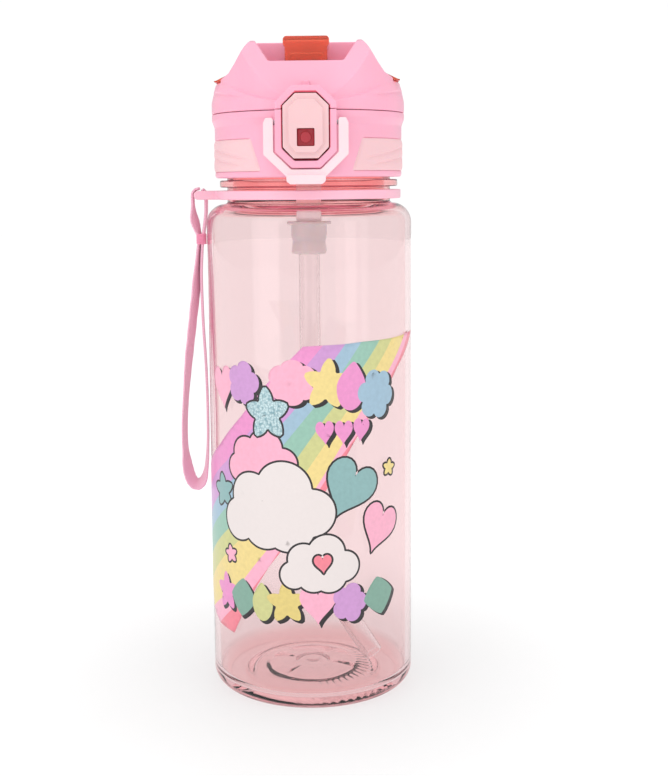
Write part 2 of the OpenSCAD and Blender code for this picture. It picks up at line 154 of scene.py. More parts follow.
def curve_through(points, per_span=6):
    """A smooth (Catmull-Rom) line through points."""
    ends = [2 * points[0] - points[1]] + points + [2 * points[-1] - points[-2]]
    line = []
    for a, b, c, d in zip(ends, ends[1:], ends[2:], ends[3:]):
        for k in range(per_span):
            t = k / per_span
            line.append(0.5 * ((2 * b) + (c - a) * t + (2 * a - 5 * b + 4 * c - d) * t * t
                               + (3 * b - a - 3 * c + d) * t ** 3))
    return line + [points[-1]]


def put(thing):
    """Links an object into the scene."""
    bpy.context.scene.collection.objects.link(thing)
    return thing


def as_piece(name, mesh, body, node):
    """A mesh as a piece that rides on a CAD body, in place of a CAD node where one is given."""
    piece = put(bpy.data.objects.new(name, mesh))
    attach(piece, body)
    if node:
        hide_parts(node)
    return piece


def add_piece(name, shape, body, material, node=None, smooth=42):
    """A piece from (vertices in mm, faces)."""
    verts, faces = shape
    mesh = bpy.data.meshes.new(name)
    mesh.from_pydata([Vector(v) * MM for v in verts], [], faces)
    for m in material if isinstance(material, list) else [material]:
        mesh.materials.append(m)
    mesh.shade_smooth()
    mesh.set_sharp_from_angle(angle=radians(smooth))
    mesh.update()
    return as_piece(name, mesh, body, node)


def mould(node, name, body, material, voxel, passes, keep, shape=None):
    """A copy of a CAD solid with soft moulded edges, its points moved by shape; all in mm."""
    blank = put(bpy.data.objects.new("blank", nodes[node].data.copy()))
    remesh = blank.modifiers.new("moulded", "REMESH")
    remesh.mode = "VOXEL"
    remesh.voxel_size = voxel * MM
    smooth = blank.modifiers.new("soft_edges", "SMOOTH")
    smooth.factor = 0.5
    smooth.iterations = passes
    mesh = bpy.data.meshes.new_from_object(
        blank.evaluated_get(bpy.context.evaluated_depsgraph_get()))
    bpy.data.objects.remove(blank)
    if shape:
        points = np.empty(len(mesh.vertices) * 3)
        mesh.vertices.foreach_get("co", points)
        points = shape(points.reshape(-1, 3) / MM) * MM
        mesh.vertices.foreach_set("co", points.ravel())
    mesh.materials.clear()
    mesh.materials.append(material)
    mesh.shade_smooth()
    mesh.update()
    piece = as_piece(name, mesh, body, node)
    piece.modifiers.new("thin", "DECIMATE").ratio = keep
    return piece


def slab(outer, inner):
    """A closed solid between two grids of points of the same size."""
    rows, columns = len(outer), len(outer[0])
    verts = [p for row in outer for p in row] + [p for row in inner for p in row]
    half = rows * columns
    faces = []
    for i in range(rows - 1):
        for j in range(columns - 1):
            a = i * columns + j
            quad = (a, a + 1, a + columns + 1, a + columns)
            faces += [quad, tuple(k + half for k in reversed(quad))]
    rim = list(range(columns))
    rim += [i * columns + columns - 1 for i in range(1, rows)]
    rim += [(rows - 1) * columns + j for j in range(columns - 2, -1, -1)]
    rim += [i * columns for i in range(rows - 2, 0, -1)]
    for a, b in zip(rim, rim[1:] + rim[:1]):
        faces.append((b, a, a + half, b + half))
    return verts, faces


# ---------------------------------------------------------------- materials


def srgb(red, green, blue):
    """Linear colour of an 8-bit screen colour."""
    linear = [(c / 255 + 0.055) / 1.055 for c in (red, green, blue)]
    return [c ** 2.4 for c in linear] + [1.0]


def shader(name, **sockets):
    """A material with one Principled shader, its constants set on the shader's own sockets."""
    material = bpy.data.materials.new(name)
    material.use_nodes = True
    principled = material.node_tree.nodes["Principled BSDF"]
    for socket, value in sockets.items():
        principled.inputs[socket.replace("_", " ")].default_value = value
    return material, material.node_tree, principled


def add_node(tree, kind, **sockets):
    """A node with its input sockets set by name."""
    node = tree.nodes.new("ShaderNode" + kind)
    for socket, value in sockets.items():
        node.inputs[socket.replace("_", " ")].default_value = value
    return node


def noise(tree, scale, detail=3.0):
    """Noise over the piece's own coordinates, scale in features per metre."""
    place = add_node(tree, "TexCoord")
    texture = add_node(tree, "TexNoise", Scale=scale, Detail=detail)
    tree.links.new(place.outputs["Object"], texture.inputs["Vector"])
    return texture.outputs["Fac"]


def spread(tree, value, low, high, from_low=0.3, from_high=0.7):
    """A factor stretched to the range low to high."""
    node = add_node(tree, "MapRange", From_Min=from_low, From_Max=from_high, To_Min=low, To_Max=high)
    tree.links.new(value, node.inputs["Value"])
    return node.outputs["Result"]


def two_tone(tree, value, dark, light):
    """A colour between dark and light by a factor."""
    mix = tree.nodes.new("ShaderNodeMix")
    mix.data_type = "RGBA"
    tree.links.new(value, mix.inputs["Factor"])
    for socket in mix.inputs:
        if socket.type == "RGBA":
            socket.default_value = {"A": dark, "B": light}[socket.name]
    return [s for s in mix.outputs if s.type == "RGBA"][0]


def math_node(tree, operation, a, b=None):
    """The outcome of one sum on sockets or plain numbers."""
    node = tree.nodes.new("ShaderNodeMath")
    node.operation = operation
    for socket, value in zip(node.inputs, (a, b)):
        if isinstance(value, (int, float)):
            socket.default_value = value
        elif value is not None:
            tree.links.new(value, socket)
    return node.outputs["Value"]


def add_bump(tree, principled, height, distance):
    """Bump of that depth in metres."""
    bump = add_node(tree, "Bump", Strength=1.0, Distance=distance)
    tree.links.new(height, bump.inputs["Height"])
    tree.links.new(bump.outputs["Normal"], principled.inputs["Normal"])


def feed(tree, principled, **outputs):
    """Links outputs to the shader's sockets of those names."""
    for socket, output in outputs.items():
        tree.links.new(output, principled.inputs[socket.replace("_", " ")])


def tint(colour, factor):
    """A colour made darker or lighter."""
    return [min(1.0, c * factor) for c in colour[:3]] + [1.0]


def moulded(name, colour, rough=0.38, grain=0.000012, coat=0.15):
    """Injection-moulded plastic: faint flow marks in the colour, a fine satin texture."""
    material, tree, principled = shader(
        name, Coat_Weight=coat, Coat_Roughness=0.22, Subsurface_Weight=0.06, Subsurface_Scale=0.002,
        IOR=1.49)
    flow = noise(tree, 55, 2)
    feed(tree, principled,
         Base_Color=two_tone(tree, spread(tree, flow, 0, 1), tint(colour, 0.965), tint(colour, 1.03)),
         Roughness=spread(tree, noise(tree, 900), rough - 0.05, rough + 0.06))
    add_bump(tree, principled, noise(tree, 2600, 4), grain)
    return material


def translucent(name, colour, transmission, rough, scatter=0.3):
    """Milky soft plastic or silicone that lets some light through."""
    material, tree, principled = shader(
        name, IOR=1.45, Transmission_Weight=transmission, Subsurface_Weight=scatter,
        Subsurface_Scale=0.003)
    cloud = noise(tree, 240, 3)
    feed(tree, principled,
         Base_Color=two_tone(tree, spread(tree, cloud, 0, 1), tint(colour, 0.95), tint(colour, 1.03)),
         Roughness=spread(tree, cloud, rough - 0.06, rough + 0.08))
    add_bump(tree, principled, noise(tree, 1800, 3), 0.00001)
    return material


def clear_wall(name, colour, absorb, shadow, rough=0.012, ripple=0.00004):
    """Clear tinted plastic; shadow and scattered light go straight through, tinted."""
    material, tree, principled = shader(
        name, Base_Color=colour, IOR=1.42, Transmission_Weight=1.0, Roughness=rough)
    out = tree.nodes["Material Output"]
    volume = add_node(tree, "VolumeAbsorption", Color=absorb[0], Density=absorb[1])
    tree.links.new(volume.outputs["Volume"], out.inputs["Volume"])
    add_bump(tree, principled, noise(tree, 38, 1), ripple)
    lets_light = add_node(tree, "BsdfTransparent", Color=shadow)
    path = add_node(tree, "LightPath")
    either = math_node(tree, "MAXIMUM", path.outputs["Is Shadow Ray"], path.outputs["Is Diffuse Ray"])
    mix = add_node(tree, "MixShader")
    tree.links.new(either, mix.inputs["Fac"])
    tree.links.new(principled.outputs["BSDF"], mix.inputs[1])
    tree.links.new(lets_light.outputs["BSDF"], mix.inputs[2])
    tree.links.new(mix.outputs["Shader"], out.inputs["Surface"])
    return material


def bottle_wall(name, wall, thick, absorb, shadow):
    """The bottle's clear plastic: deeper in the thick foot and along its edges, and at the neck deeper
    both for its thick plastic and as a painted reflection of the lid and ring.
    """
    material = clear_wall(name, wall, absorb, shadow)
    tree = material.node_tree
    place = add_node(tree, "TexCoord")
    split = add_node(tree, "SeparateXYZ")
    tree.links.new(place.outputs["Object"], split.inputs["Vector"])
    foot = spread(tree, split.outputs["Z"], 0.55, 0, *FOOT_FADES)
    # at the neck the deeper colour is partly a painted reflection of the lid and ring
    neck = spread(tree, split.outputs["Z"], 0, 1.6, *NECK_TINT_AND_REFLECTION)
    edge = add_node(tree, "LayerWeight", Blend=0.25)
    bend = spread(tree, edge.outputs["Facing"], 0, 0.9, 0.35, 0.85)
    total = math_node(tree, "ADD", math_node(tree, "ADD", foot, neck), bend)
    feed(tree, tree.nodes["Principled BSDF"], Base_Color=two_tone(tree, total, wall, thick))
    return material


def woven(name, colour):
    """Plain-woven tape. Its UVs are in threads: across the tape and along it."""
    material, tree, principled = shader(name, Sheen_Weight=0.4, Sheen_Roughness=0.5)
    uv = add_node(tree, "UVMap")
    uv.uv_map = "threads"
    split = add_node(tree, "SeparateXYZ")
    tree.links.new(uv.outputs["UV"], split.inputs["Vector"])
    warp = math_node(tree, "SINE", math_node(tree, "MULTIPLY", split.outputs["X"], pi))
    weft = math_node(tree, "SINE", math_node(tree, "MULTIPLY", split.outputs["Y"], pi))
    over = math_node(tree, "MULTIPLY", warp, weft)
    height = math_node(tree, "ABSOLUTE", over)
    shade = math_node(tree, "ADD", math_node(tree, "MULTIPLY", over, 0.5), 0.5)
    fibres = noise(tree, 4200, 2)
    blend = math_node(tree, "ADD", math_node(tree, "MULTIPLY", shade, 0.6),
                      math_node(tree, "MULTIPLY", fibres, 0.4))
    feed(tree, principled, Base_Color=two_tone(tree, blend, tint(colour, 0.9), tint(colour, 1.08)),
         Roughness=spread(tree, fibres, 0.62, 0.85))
    add_bump(tree, principled, height, 0.0001)
    return material


def ink(name, colour, speckle):
    """Screen-printed ink: satin, with faint mottling."""
    material, tree, principled = shader(name, Coat_Weight=0.25, Coat_Roughness=0.15)
    dots = noise(tree, 700, 3)
    feed(tree, principled,
         Base_Color=two_tone(tree, spread(tree, dots, 0, 1), tint(colour, 1 - speckle),
                             tint(colour, 1 + speckle)),
         Roughness=spread(tree, dots, 0.35, 0.5))
    add_bump(tree, principled, dots, 0.000008)
    return material


def glitter(name):
    """Silver foil broken into small flakes that tilt every way."""
    material, tree, principled = shader(name, Metallic=0.75, Roughness=0.28)
    place = add_node(tree, "TexCoord")
    flakes = add_node(tree, "TexVoronoi", Scale=1300.0)
    tree.links.new(place.outputs["Object"], flakes.inputs["Vector"])
    tilt = flakes.outputs["Distance"]
    feed(tree, principled, Base_Color=two_tone(tree, tilt, srgb(214, 232, 234), srgb(120, 158, 168)),
         Roughness=spread(tree, tilt, 0.15, 0.5, 0, 1))
    add_bump(tree, principled, tilt, 0.0002)
    return material


def metal(name):
    """Drawn steel wire and pins."""
    material, tree, principled = shader(name, Base_Color=srgb(196, 198, 202), Metallic=1.0)
    feed(tree, principled, Roughness=spread(tree, noise(tree, 3000), 0.2, 0.34))
    return material


# heights in metres over which the bottle's deep colour ends above the foot and starts at the neck; at
# the neck it is partly the thick plastic's tint and partly a painted reflection of the lid and ring
FOOT_FADES = (0.004, 0.009)
NECK_TINT_AND_REFLECTION = (0.170, 0.175)

PINK = moulded("pink_plastic", srgb(250, 176, 200))
RING_PINK = moulded("ring_plastic", srgb(250, 188, 207), rough=0.42)
BUTTON_CREAM = moulded("button_plastic", srgb(240, 197, 200), rough=0.34)
BAIL_CREAM = moulded("lock_plastic", srgb(252, 220, 226), rough=0.34)
GRIP = moulded("grip_rubber", srgb(245, 200, 205), rough=0.6, grain=0.00003, coat=0.0)
CORAL = translucent("coral_plastic", srgb(255, 124, 92), 0.7, 0.05, scatter=0.0)
# a deeper pink painted on the walls round the button: painted shade in its gap
RECESS_SHADE = moulded("recess_painted_shade", srgb(226, 84, 106), rough=0.42)
LATCH = translucent("latch_plastic", srgb(200, 66, 78), 0.25, 0.2, scatter=0.1)
# its second colour is the deep tint of thick plastic, at the neck also a painted reflection of the lid
# and ring
CLEAR = bottle_wall("clear_pink_plastic", (0.918, 0.817, 0.82, 1), (0.96, 0.5, 0.5, 1),
                    ((0.8, 0.12, 0.2, 1), 14), (0.99, 0.962, 0.965, 1))
SILICONE = translucent("milky_silicone", srgb(255, 246, 246), 0.3, 0.35)
MOUTH = translucent("mouth_silicone", srgb(248, 205, 214), 0.15, 0.4)
STEM = moulded("stem_plastic", srgb(254, 250, 248), rough=0.3)
STRAW = clear_wall("straw_plastic", (0.975, 0.957, 0.958, 1), ((0.9, 0.8, 0.8, 1), 10),
                   (0.98, 0.97, 0.97, 1), rough=0.16, ripple=0.00001)
TAPE = woven("strap_tape", srgb(255, 190, 213))
THREAD = moulded("stitch_thread", srgb(244, 150, 182), rough=0.6, coat=0.0)
STEEL = metal("steel")
# the inks of the print, and how much the even ones are mottled
INK_COLOURS = {
    "magenta": (234, 146, 200), "purple": (206, 152, 208), "blue": (158, 188, 208),
    "green": (148, 192, 174), "lime": (206, 206, 140), "yellow": (238, 214, 140),
    "pink": (248, 176, 200), "rose": (242, 132, 148), "white": (232, 222, 220),
    "black": (32, 26, 30), "teal": (138, 178, 178), "gold": (226, 204, 124),
    "sage": (128, 168, 152),
}
EVEN_INKS = {"white": 0.01, "black": 0.02}
INKS = {colour: ink("ink_" + colour, srgb(*rgb), EVEN_INKS.get(colour, 0.05))
        for colour, rgb in INK_COLOURS.items()}
INKS["glitter"] = glitter("ink_glitter")

# ---------------------------------------------------------------- camera, light and floor

# places in metres, angles in degrees, the lens in mm on a sensor 36 mm wide
CAMERA_AT = (0.0095, -0.4556, 0.1798)
CAMERA_DOWN = 7.0
CAMERA_TURN = 1.2
CAMERA_ROLL = -0.55
CAMERA_LENS = 59.59
CAMERA_SHIFT = (0.031, -0.061)
# the white surroundings as the camera sees them, as they light the object, and as mirrored in it
WORLD_SEEN = 1.02
WORLD_AMBIENT = 0.7
WORLD_MIRRORED = 0.7
# the floor's own light far from the object and, lower, close to it as a painted shadow, and the
# distances between
FLOOR_GLOW = 0.78
FLOOR_SHADOWED_GLOW = 0.56
FLOOR_SHADOW_FADES = (0.03, 0.16)
FLOOR_REACH = 4.0


def make_camera():
    """The photo's viewpoint, about level with the neck and looking down a little."""
    data = bpy.data.cameras.new("photo_camera")
    data.sensor_width = 36.0
    data.lens = CAMERA_LENS
    data.shift_x, data.shift_y = CAMERA_SHIFT
    data.clip_end = 20
    camera = put(bpy.data.objects.new("photo_camera", data))
    turn = (Matrix.Rotation(radians(CAMERA_TURN), 4, "Z")
            @ Matrix.Rotation(radians(90 - CAMERA_DOWN), 4, "X")
            @ Matrix.Rotation(radians(CAMERA_ROLL), 4, "Z"))
    camera.matrix_world = Matrix.Translation(CAMERA_AT) @ turn
    bpy.context.scene.camera = camera


def softbox(name, place, target, width, height, power):
    """A rectangular area light turned towards a point."""
    data = bpy.data.lights.new(name, "AREA")
    data.shape = "RECTANGLE"
    data.size, data.size_y = width, height
    data.energy = power
    lamp = put(bpy.data.objects.new(name, data))
    lamp.location = place
    lamp.rotation_mode = "QUATERNION"
    lamp.rotation_quaternion = (Vector(target) - Vector(place)).to_track_quat("-Z", "Y")


def make_studio():
    """White surroundings, three softboxes and a floor that glows less under the object, a painted
    shadow.
    """
    world = bpy.data.worlds.new("studio")
    bpy.context.scene.world = world
    world.use_nodes = True
    tree = world.node_tree
    ambient = tree.nodes["Background"]
    ambient.inputs["Color"].default_value = (1, 1, 1, 1)
    path = add_node(tree, "LightPath")
    seen = spread(tree, path.outputs["Is Reflection Ray"], WORLD_SEEN, WORLD_MIRRORED, 0, 1)
    ambience = spread(tree, path.outputs["Is Diffuse Ray"], 1, WORLD_AMBIENT / WORLD_MIRRORED, 0, 1)
    tree.links.new(math_node(tree, "MULTIPLY", seen, ambience), ambient.inputs["Strength"])
    bpy.context.scene.view_settings.view_transform = "Standard"
    softbox("key_left", (-0.55, -0.5, 0.42), (0, 0, 0.11), 0.5, 0.9, 1.3)
    softbox("key_right", (0.6, -0.42, 0.36), (0, 0, 0.11), 0.4, 0.9, 0.8)
    softbox("top", (0.0, -0.3, 0.75), (0, 0, 0.1), 0.5, 0.5, 0.9)
    floor_material, tree, principled = shader("floor", Roughness=0.6, Emission_Color=(1, 1, 1, 1))
    place = add_node(tree, "TexCoord")
    length = add_node(tree, "VectorMath")
    length.operation = "LENGTH"
    tree.links.new(place.outputs["Object"], length.inputs[0])
    # the floor's glow drops close to the object: a painted shadow
    feed(tree, principled,
         Base_Color=two_tone(tree, noise(tree, 12), (0.34, 0.34, 0.34, 1), (0.36, 0.36, 0.36, 1)),
         Emission_Strength=spread(tree, length.outputs["Value"], FLOOR_SHADOWED_GLOW, FLOOR_GLOW, *FLOOR_SHADOW_FADES))
    mesh = bpy.data.meshes.new("floor")
    corners = [(-1, -1), (1, -1), (1, 1), (-1, 1)]
    mesh.from_pydata([(x * FLOOR_REACH, y * FLOOR_REACH, 0) for x, y in corners], [], [(0, 1, 2, 3)])
    mesh.materials.append(floor_material)
    floor = put(bpy.data.objects.new("floor", mesh))


# ---------------------------------------------------------------- strap

# the eye's bar and the tape's turn round it, the tack's height, the tape's width and thickness
BAR_X = -38.6
BAR_Z = 175.85
WRAP_R = 2.35
TACK_Z = 160.5
STRAP_W = 5.5
STRAP_T = 1.0
# points across each face, the spacing of the edge's loops, and the threads' spacing both ways
STRAP_COLUMNS = 14
PICOT = 0.8
WEFT = 0.42
WARP = 0.5
# the loop's route in (x, height), as in the CAD: down the outer branch and up the inner one
STRAP_DOWN = [(-40.9, 172), (-40.6, 168), (-39.6, 164), (-38.7, 160.5), (-39.2, 156),
              (-39.8, 150), (-40.5, 142), (-41.5, 134), (-42.5, 126), (-43.5, 118), (-44.3, 110),
              (-45, 102), (-45.5, 94), (-45.5, 86), (-44.8, 78.5), (-43.4, 73.4), (-41.2, 71.7)]
STRAP_UP = [(-39, 73.6), (-37.8, 79), (-37.2, 88), (-37.1, 98), (-37.2, 108), (-37.5, 118),
            (-38, 128), (-38.3, 138), (-38.4, 148), (-38, 156), (-37.6, 160.5), (-37, 164.5),
            (-36.4, 169), (-36.25, 172.5)]
# the tape's twist in degrees, by how much of its length has gone
TWISTS = [(0, 0), (0.03, 0), (0.06, 24), (0.085, 8), (0.11, 8), (0.17, 24), (0.27, 22), (0.36, 12),
          (0.43, 12), (0.48, 34), (0.5, 34), (0.545, 12), (0.58, 6), (0.9, 4), (0.93, 0), (1, 0)]


def between(table, x):
    """The value at x in a table of (x, value), eased from one entry to the next."""
    for (x0, v0), (x1, v1) in zip(table, table[1:]):
        if x <= x1:
            t = (x - x0) / (x1 - x0)
            t = t * t * (3 - 2 * t)
            return v0 + (v1 - v0) * t
    return table[-1][1]


def make_strap():
    """A flat woven tape over the ring's eye, twisting a little as it hangs."""
    flat = (arc(BAR_X, BAR_Z, WRAP_R, 90, 180, 3) + STRAP_DOWN + STRAP_UP
            + arc(BAR_X, BAR_Z, WRAP_R, 0, 60, 2))
    line = curve_through([Vector((x, 0, z)) for x, z in flat])
    lengths = [0.0]
    for a, b in zip(line, line[1:]):
        lengths.append(lengths[-1] + (b - a).length)
    columns = STRAP_COLUMNS
    rings, uvs = [], []
    for i, p in enumerate(line):
        tangent = (line[min(i + 1, len(line) - 1)] - line[max(i - 1, 0)]).normalized()
        twist = radians(between(TWISTS, lengths[i] / lengths[-1]))
        turn = Matrix.Rotation(twist, 3, tangent)
        side = turn @ Vector((0, 1, 0))
        face = turn @ tangent.cross(Vector((0, 1, 0)))
        rings.append([])
        for k in range(2 * columns):
            step = k if k < columns else 2 * columns - 1 - k
            across = -1 + 2 * step / (columns - 1)
            thick = (1 if k < columns else -1) * 0.5 * STRAP_T * (1 - 0.55 * abs(across) ** 6)
            picot = 1 + (0.035 * cos(pi * lengths[i] / PICOT) if abs(across) > 0.99 else 0)
            rings[-1].append(p + side * across * STRAP_W / 2 * picot + face * thick)
            uvs.append((across * STRAP_W / 2 / WEFT, lengths[i] / WARP))
    strap = add_piece("strap_tape", skin(rings), "strap", TAPE, "strap_loop")
    layer = strap.data.uv_layers.new(name="threads")
    for loop in strap.data.loops:
        layer.data[loop.index].uv = uvs[loop.vertex_index]
    tack = make_tack()


def make_tack():
    """The sewn pinch: a tight wrap of thread over both branches of the strap."""
    low, high = cad("strap_tack")
    x0, x1 = low[0] + 0.1, high[0] - 0.1
    centre = Vector(((x0 + x1) / 2, 0, TACK_Z))
    wide, deep = (x1 - x0) / 2, high[1] - 0.15
    turns, steps, thread, wound = 7, 24, 0.26, 3.4

    def wrap(a, z, x_part=1.0, y_part=1.0):
        """A place on a rounded square, so that the thread lies flat on the tape."""
        c, s = cos(a), sin(a)
        stretch = 1 / (abs(c) ** 6 + abs(s) ** 6) ** (1 / 6)
        return centre + Vector((wide * x_part * c * stretch, deep * y_part * s * stretch, z))

    route = [wrap(2 * pi * k / steps, wound * (k / (turns * steps) - 0.5))
             for k in range(turns * steps + 1)]
    verts, faces = swept(route, thread, 8, Vector((0, 0, 1)))
    core_verts, core_faces = skin([[tuple(wrap(2 * pi * k / 32, z, 0.96, 0.97)) for k in range(32)]
                                   for z in (-1.8, -1.5, 1.5, 1.8)])
    faces += [tuple(len(verts) + i for i in face) for face in core_faces]
    return add_piece("strap_stitching", (verts + core_verts, faces), "strap", THREAD,
                     "strap_tack")


# ---------------------------------------------------------------- bottle

# the bottle as in the CAD: body, shoulder, foot, neck, flange and thread
NECK_TOP = cad("bottle_body")[1][2]
BODY_R = 36.0
WALL = 2.0
SIDE_TOP = 166.0
SHOULDER_R = 6.8
SHOULDER_TOP = SIDE_TOP + SHOULDER_R
FOOT_R = 6.0
FLOOR_T = 4.2
NECK_R = 28.6
NECK_BORE = 26.7
FLANGE_R = 31.15
FLANGE_Z = 178.5
FLANGE_H = 2.4
THREAD_Z = 185.2
THREAD_PITCH = 5.0
THREAD_TURNS = 1.3
THREAD_HIGH = 1.05
# under the foot: the gate disc, the petals round it and the ring of ticks that fades to the left
RELIEF_TOP = 3.6
RELIEF_R = 21
GATE_R = 5.8
GATE_DEEP = 0.5
PETALS = 5
PETAL_LONG = 15
PETAL_HIGH = 0.22
TICKS = 48
TICK_FROM = 16
TICK_TO = 20.5
TICK_DEEP = 0.2


def thread_height(z, angle):
    """How far the neck's thread stands out there."""
    best = 0.0
    for turn in (0, 1):
        along = angle / (2 * pi) + turn
        if along > THREAD_TURNS:
            continue
        off = abs(z - THREAD_Z - THREAD_PITCH * along)
        ridge = max(0.0, min(1.0, (1.1 - off) / 0.65))
        fade = max(0.0, min(1.0, along * 8, (THREAD_TURNS - along) * 8))
        best = max(best, ridge * fade)
    return THREAD_HIGH * best


def bottle_shape(radius, height, angle):
    """The thread on the neck, and under the foot the petals, the gate disc and a ring of ticks."""
    if height > FLANGE_Z + FLANGE_H and abs(radius - NECK_R) < 0.01:
        return radius + thread_height(height, angle), height
    if height < RELIEF_TOP and radius < RELIEF_R:
        if radius < GATE_R:
            return radius, height + GATE_DEEP
        petal = max(0.0, cos(PETALS * angle)) * sin(pi * (radius - GATE_R) / PETAL_LONG)
        scale = max(0.0, cos(TICKS * angle)) * max(0.0, cos(angle + 0.45))
        tick = TICK_DEEP * scale if TICK_FROM < radius < TICK_TO else 0.0
        return radius, height - PETAL_HIGH * max(0.0, petal) + tick
    return radius, height


def make_bottle():
    """The clear bottle, turned from one outline: up the outside, over the rim and down the inside."""
    foot_in = BODY_R - FOOT_R
    underside = [(0, 3.4), (2, 3.4), (4, 3.35), (5.4, 3.3), (5.9, 3.3)]
    underside += [(6.5 + 0.75 * k, 3.25 - 0.0064 * k * k) for k in range(13)]
    underside += [(16.4, 2.75), (17.5, 2.6), (18.5, 2.45), (19.5, 2.3), (20.4, 2.1), (21.5, 1.5),
                  (22.6, 0.7), (23.5, 0.2), (24.6, 0)]
    outer = underside + arc(foot_in, FOOT_R, FOOT_R, -90, 0, 16)
    outer += arc(BODY_R - SHOULDER_R, SIDE_TOP, SHOULDER_R, 0, 82, 16)
    rise = FLANGE_Z + FLANGE_H + 1.5
    outer += soften([(NECK_R + 0.7, SHOULDER_TOP, 0), (NECK_R, SHOULDER_TOP + 0.5, 0.3),
                     (NECK_R, FLANGE_Z, 0.25), (FLANGE_R, FLANGE_Z, 0.45),
                     (FLANGE_R, FLANGE_Z + FLANGE_H, 0.45), (NECK_R, FLANGE_Z + FLANGE_H, 0.25),
                     (NECK_R, rise, 0)], closed=False)
    outer += [(NECK_R, rise + 0.3 * k) for k in range(1, int((NECK_TOP - 0.8 - rise) / 0.3))]
    outer += soften([(NECK_R, NECK_TOP - 0.7, 0), (NECK_R, NECK_TOP, 0.4),
                     (NECK_BORE, NECK_TOP, 0.4), (NECK_BORE, SHOULDER_TOP - 0.8, 0)], closed=False)
    outer += arc(BODY_R - SHOULDER_R, SIDE_TOP, SHOULDER_R - WALL, 80, 0, 14)
    side_in = BODY_R - WALL
    outer += arc(side_in - 4.5, FLOOR_T + 4.5, 4.5, 0, -90, 14)
    outer += [(26, FLOOR_T + 0.1), (22, FLOOR_T + 0.5), (18, FLOOR_T + 1.4), (14, FLOOR_T + 2.4),
              (10, FLOOR_T + 2.85), (6, FLOOR_T + 3), (3, FLOOR_T + 3), (0, FLOOR_T + 3)]
    add_piece("clear_bottle", turned(outer, 288, shape=bottle_shape), "bottle", CLEAR,
              "bottle_body", smooth=50)


# ---------------------------------------------------------------- printed film


def moved(points, dx, dz):
    """An outline shifted as a whole."""
    return [(x + dx, z + dz) for x, z in points]


def grown(points, by):
    """An outline pushed outwards by so many millimetres."""
    out = []
    count = len(points)
    for i in range(count):
        a, b, c = Vector(points[i - 1]), Vector(points[i]), Vector(points[(i + 1) % count])
        one, two = (b - a).normalized(), (c - b).normalized()
        normal = Vector((one.y + two.y, -one.x - two.x))
        normal = normal.normalized() if normal.length > 1e-6 else Vector((one.y, -one.x))
        out.append((b.x + normal.x * by, b.y + normal.y * by))
    return out


def leant(points, x, z, lean):
    """An outline about (0, 0) turned by so many degrees and put at (x, z)."""
    c, s = cos(radians(lean)), sin(radians(lean))
    return [(x + u * c - v * s, z + u * s + v * c) for u, v in points]


def round_shape(x, z, width, height, lean, radius, steps):
    """An outline whose radius depends on the angle."""
    points = []
    for k in range(steps):
        a = 2 * pi * k / steps
        points.append((radius(a) * cos(a) * width / 2, radius(a) * sin(a) * height / 2))
    return leant(points, x, z, lean)


def star(x, z, size, lean=0.0, tall=1.0):
    """Five points, their tips rounded by the spacing of the outline."""
    def radius(a):
        phase = (a - pi / 2) * 5 / (2 * pi)
        return 1 - 0.5 * min(1, 2 * abs(phase - round(phase)))
    return round_shape(x, z, size, size * tall, lean, radius, 50)


def flower(x, z, size, lean=0.0, tall=1.0, petals=5):
    """A blossom of round petals."""
    return round_shape(x, z, size, size * tall, lean,
                       lambda a: 0.78 + 0.22 * abs(cos(petals * a / 2)) ** 0.7, 60)


def puff(x, z, width, height, lobes):
    """A soft round with lobes."""
    return round_shape(x, z, width, height, 0,
                       lambda a: 0.84 + 0.16 * abs(sin(lobes * a / 2)) ** 0.6, 24 * lobes)


def drop(x, z, width, height, lean=0.0, steps=36):
    """A round outline that narrows upwards."""
    points = []
    for k in range(steps):
        a = 2 * pi * k / steps
        narrow = 1 - 0.55 * max(0, sin(a)) ** 1.5
        points.append((cos(a) * width / 2 * narrow, sin(a) * height / 2))
    return leant(points, x, z, lean)


def heart(x, z, width, height, lean=0.0, steps=44):
    """The usual heart curve, point down."""
    points = []
    for k in range(steps):
        a = 2 * pi * k / steps
        v = (13 * cos(a) - 5 * cos(2 * a) - 2 * cos(3 * a) - cos(4 * a)) / 29
        points.append((sin(a) ** 3 * width / 2, (v + 0.08) * height))
    return leant(points, x, z, lean)[::-1]


def diamond(x, z, width, height, lean=0.0):
    """A square on its corner with bulging sides."""
    return round_shape(x, z, width, height, lean,
                       lambda a: 1 / (abs(cos(a)) ** 1.25 + abs(sin(a)) ** 1.25) ** 0.8, 48)


def cloud(x, z, width, steps=180):
    """The outline round a heap of discs, seen from its middle."""
    points = []
    for k in range(steps):
        way = Vector((cos(2 * pi * k / steps), sin(2 * pi * k / steps)))
        reach = 0.0
        for across, up, size in CLOUD:
            disc = Vector((across, up - CLOUD_MIDDLE))
            along = way.dot(disc)
            under = (size / 2) ** 2 - disc.length_squared + along ** 2
            if under > 0:
                reach = max(reach, along + math.sqrt(under))
        points.append((x + way.x * reach * width, z + (CLOUD_MIDDLE + way.y * reach) * width))
    return points


